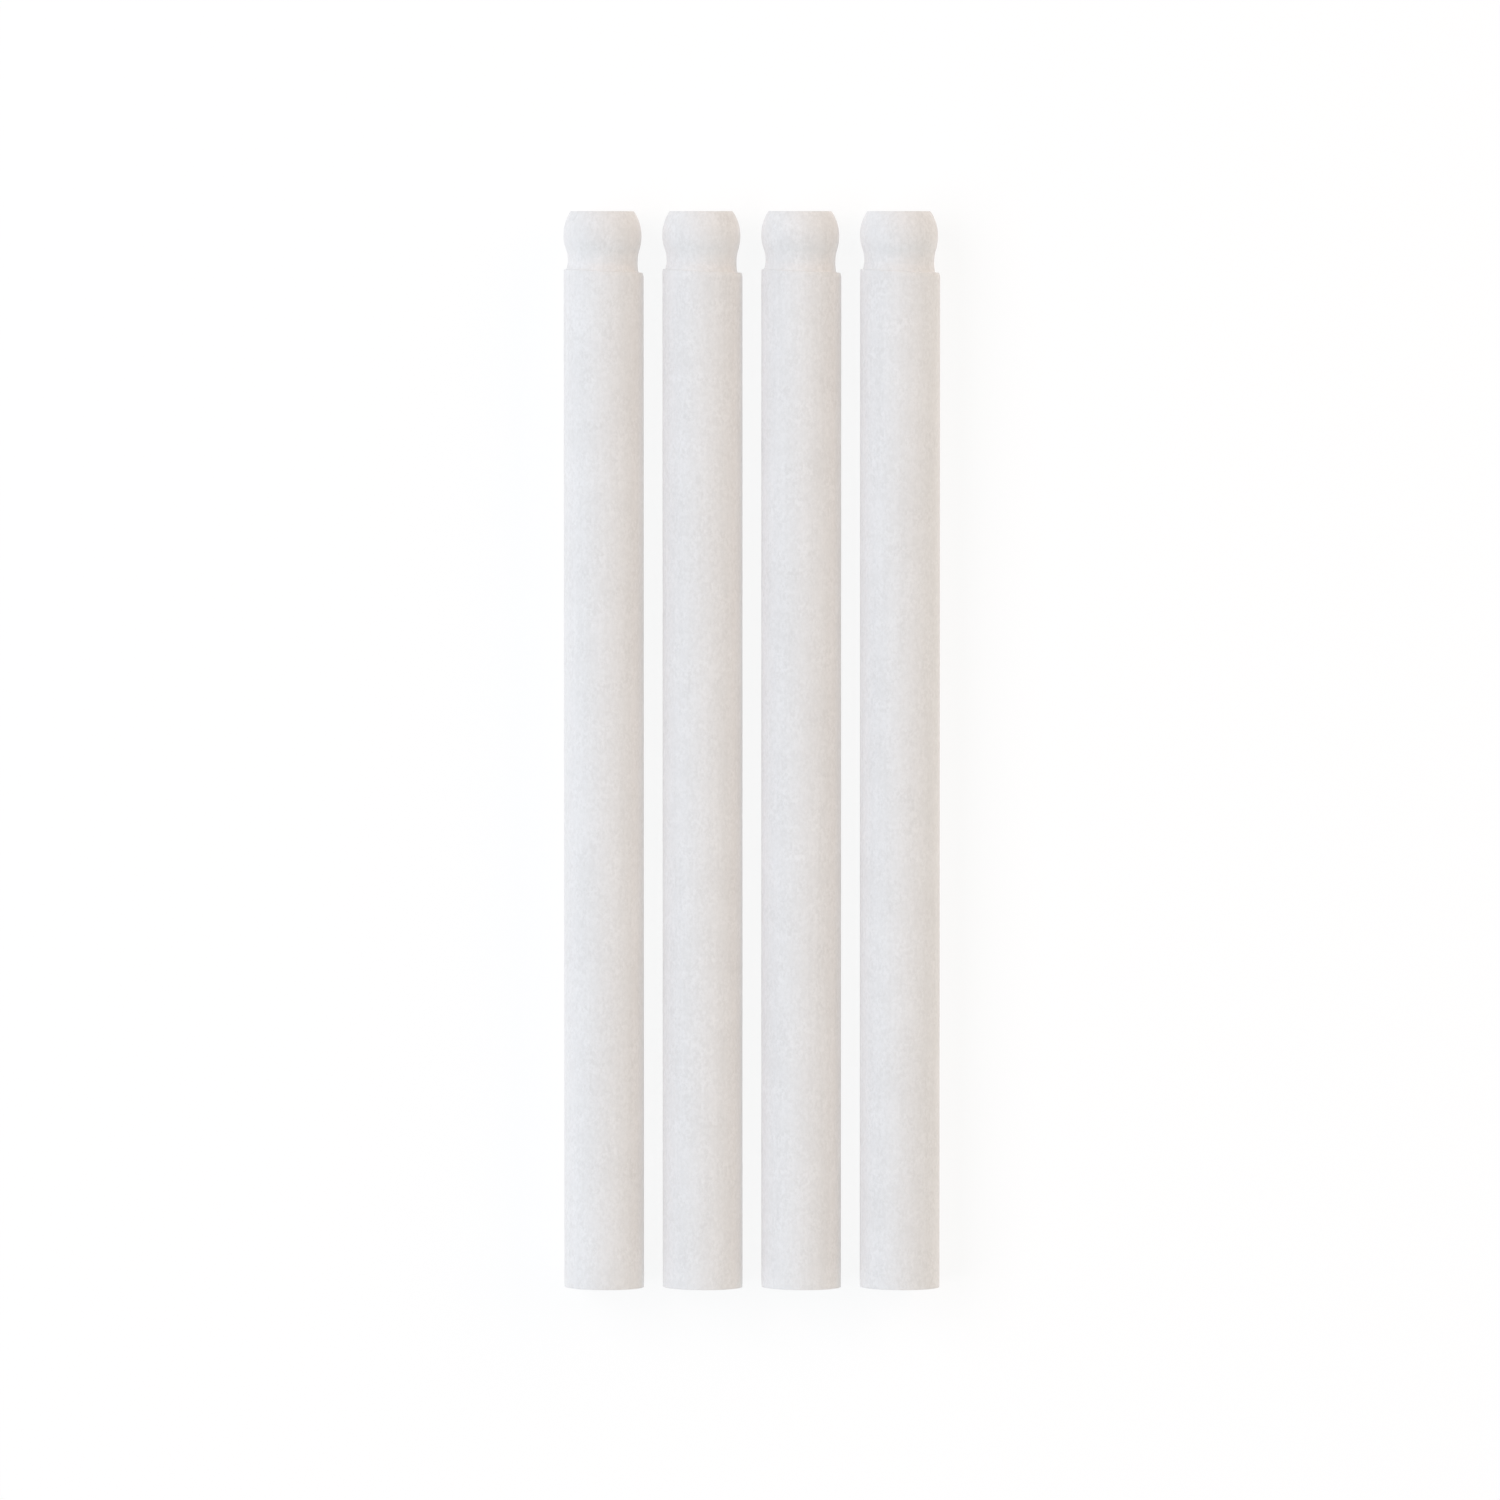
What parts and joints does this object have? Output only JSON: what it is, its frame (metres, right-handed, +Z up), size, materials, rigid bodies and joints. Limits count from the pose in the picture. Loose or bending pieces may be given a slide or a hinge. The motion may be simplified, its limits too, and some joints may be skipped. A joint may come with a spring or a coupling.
{
  "type": "eraser refill stick set",
  "caption": "Loose round white vinyl eraser refill sticks with a rounded snap head at one end, for a click-type eraser holder, lying side by side.",
  "frame": {"origin": "on the surface that the sticks lie on, under the middle of the row", "axes": "+X across the row, +Y along the sticks towards their snap heads, +Z up"},
  "size_m": [0.0318, 0.0912, 0.0068],
  "materials": {
    "white_vinyl": "matte"
  },
  "bodies": {
    "stick_1": {"refill_stick_1": "white_vinyl"},
    "stick_2": {"refill_stick_2": "white_vinyl"},
    "stick_3": {"refill_stick_3": "white_vinyl"},
    "stick_4": {"refill_stick_4": "white_vinyl"}
  },
  "joints": [
    {"name": "lift_stick_1", "type": "slide", "parent": "stick_2", "child": "stick_1", "axis": [0, 0, 1], "range_m": [0, 0.03]},
    {"name": "lift_stick_3", "type": "slide", "parent": "stick_2", "child": "stick_3", "axis": [0, 0, 1], "range_m": [0, 0.03]},
    {"name": "lift_stick_4", "type": "slide", "parent": "stick_2", "child": "stick_4", "axis": [0, 0, 1], "range_m": [0, 0.03]}
  ]
}
